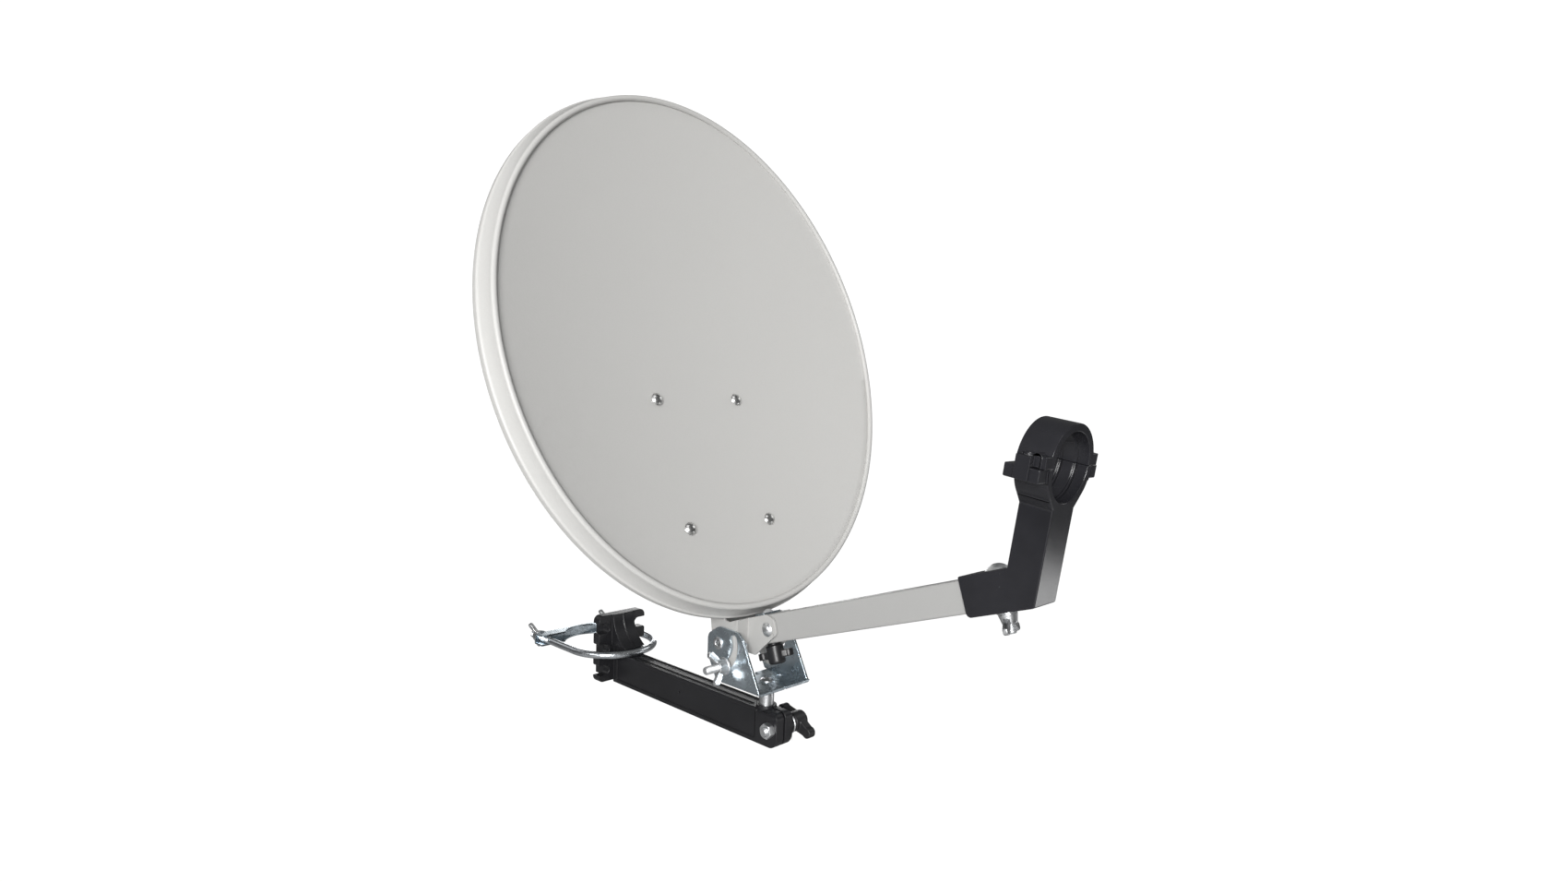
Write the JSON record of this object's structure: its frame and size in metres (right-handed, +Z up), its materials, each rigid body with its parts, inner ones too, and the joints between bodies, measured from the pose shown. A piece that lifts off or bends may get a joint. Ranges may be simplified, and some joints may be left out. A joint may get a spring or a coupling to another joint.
{
  "type": "offset satellite dish",
  "caption": "Small offset satellite dish on an arm that clamps to a mast, with tilting and turning head and a folding feed arm with an open LNB clamp.",
  "frame": {"origin": "on the mast's axis, level with the centre line of the U-bolt", "axes": "+Z up along the mast, +X from the mast towards the dish's front and the feed arm, +Y to the side of the azimuth knob"},
  "size_m": [0.4915, 0.37, 0.4813],
  "materials": {
    "black_moulding": "fine satin grain, glass-filled nylon",
    "black_holder": "fine satin grain",
    "black_knob": "satin",
    "black_trim": "satin",
    "spacer_plastic": "matt",
    "bush_plastic": "natural nylon",
    "dish_paint": "light warm grey powder coat, very fine orange peel",
    "bracket_paint": "light warm grey powder coat",
    "arm_paint": "light warm grey powder coat",
    "dish_bolt_paint": "grey-painted heads",
    "zinc_sheet": "bluish bright zinc plating on sheet steel",
    "zinc_rod": "bluish bright zinc plating on rod",
    "zinc_pin": "bluish bright zinc plating, turned",
    "zinc_fastener": "bright zinc plating",
    "zinc_wing_nut": "zinc plating over a cast skin"
  },
  "bodies": {
    "mast_mount": {"support_arm": "black_moulding", "u_bolt": "zinc_rod", "azimuth_nut": "zinc_fastener", "azimuth_washer": "zinc_fastener"},
    "azimuth_knob": {"azimuth_stud": "zinc_fastener", "azimuth_knob": "black_knob"},
    "clamp_strap": {"clamp_strap": "zinc_sheet", "strap_washers": "zinc_fastener"},
    "strap_nut_near": {"strap_wing_nut_near": "zinc_wing_nut"},
    "strap_nut_far": {"strap_wing_nut_far": "zinc_wing_nut"},
    "azimuth_head": {"elevation_bracket": "zinc_sheet", "swivel_stub": "zinc_pin", "pivot_rivet_near": "zinc_fastener", "pivot_rivet_far": "zinc_fastener"},
    "reflector": {"reflector": "dish_paint", "dish_bolts": "dish_bolt_paint", "dish_spacers": "spacer_plastic", "dish_washers": "zinc_fastener", "dish_nuts": "zinc_fastener", "back_bracket": "bracket_paint", "bracket_rivets": "zinc_fastener", "arm_pivot_rivet": "zinc_fastener", "elevation_bolts": "zinc_fastener", "elevation_washers": "zinc_fastener"},
    "elevation_nut_near": {"elevation_wing_nut_near": "zinc_wing_nut"},
    "elevation_nut_far": {"elevation_wing_nut_far": "zinc_wing_nut"},
    "feed_arm": {"feed_arm": "arm_paint", "arm_bush": "bush_plastic", "arm_end_plug": "black_trim", "lock_plate": "zinc_sheet", "lock_bolt": "zinc_fastener", "lnb_holder": "black_holder", "cap_nuts": "zinc_fastener", "holder_bolt": "zinc_fastener", "holder_washer": "zinc_fastener"},
    "lock_knob": {"lock_knob": "black_knob"},
    "lnb_cap": {"lnb_cap": "black_holder", "cap_screws": "zinc_fastener"},
    "holder_nut": {"holder_wing_nut": "zinc_wing_nut"}
  },
  "joints": [
    {"name": "strap_slide", "type": "slide", "parent": "mast_mount", "child": "clamp_strap", "axis": [1, 0, 0], "range_m": [-0.005, 0.015]},
    {"name": "strap_nut_near_spin", "type": "hinge", "parent": "clamp_strap", "child": "strap_nut_near", "pos_m": [-0.032, -0.037, 0], "axis": [-1, 0, 0], "continuous": true},
    {"name": "strap_nut_far_spin", "type": "hinge", "parent": "clamp_strap", "child": "strap_nut_far", "pos_m": [-0.032, 0.037, 0], "axis": [-1, 0, 0], "continuous": true},
    {"name": "azimuth_knob_spin", "type": "hinge", "parent": "mast_mount", "child": "azimuth_knob", "pos_m": [0.232, 0.02, -0.0155], "axis": [0, 1, 0], "continuous": true},
    {"name": "azimuth_turn", "type": "hinge", "parent": "mast_mount", "child": "azimuth_head", "pos_m": [0.22, 0, 0], "axis": [0, 0, 1], "continuous": true},
    {"name": "elevation_tilt", "type": "hinge", "parent": "azimuth_head", "child": "reflector", "pos_m": [0.1948, 0, 0.0427], "axis": [0, -1, 0], "range_deg": [-5, 62]},
    {"name": "elevation_nut_near_spin", "type": "hinge", "parent": "reflector", "child": "elevation_nut_near", "pos_m": [0.20217, -0.03, 0.0276], "axis": [0, -1, 0], "continuous": true},
    {"name": "elevation_nut_far_spin", "type": "hinge", "parent": "reflector", "child": "elevation_nut_far", "pos_m": [0.20217, 0.03, 0.0276], "axis": [0, 1, 0], "continuous": true},
    {"name": "feed_arm_fold", "type": "hinge", "parent": "reflector", "child": "feed_arm", "pos_m": [0.2308, 0, 0.0578], "axis": [0, -1, 0], "range_deg": [0, 70]},
    {"name": "lock_knob_spin", "type": "hinge", "parent": "feed_arm", "child": "lock_knob", "pos_m": [0.22626, 0, 0.04363], "axis": [0.3173, 0, -0.9483], "continuous": true},
    {"name": "holder_nut_spin", "type": "hinge", "parent": "feed_arm", "child": "holder_nut", "pos_m": [0.41321, 0, 0.10196], "axis": [0.3173, 0, -0.9483], "continuous": true},
    {"name": "lnb_cap_lift", "type": "slide", "parent": "feed_arm", "child": "lnb_cap", "axis": [0.1478, 0, 0.989], "range_m": [0, 0.045]}
  ]
}
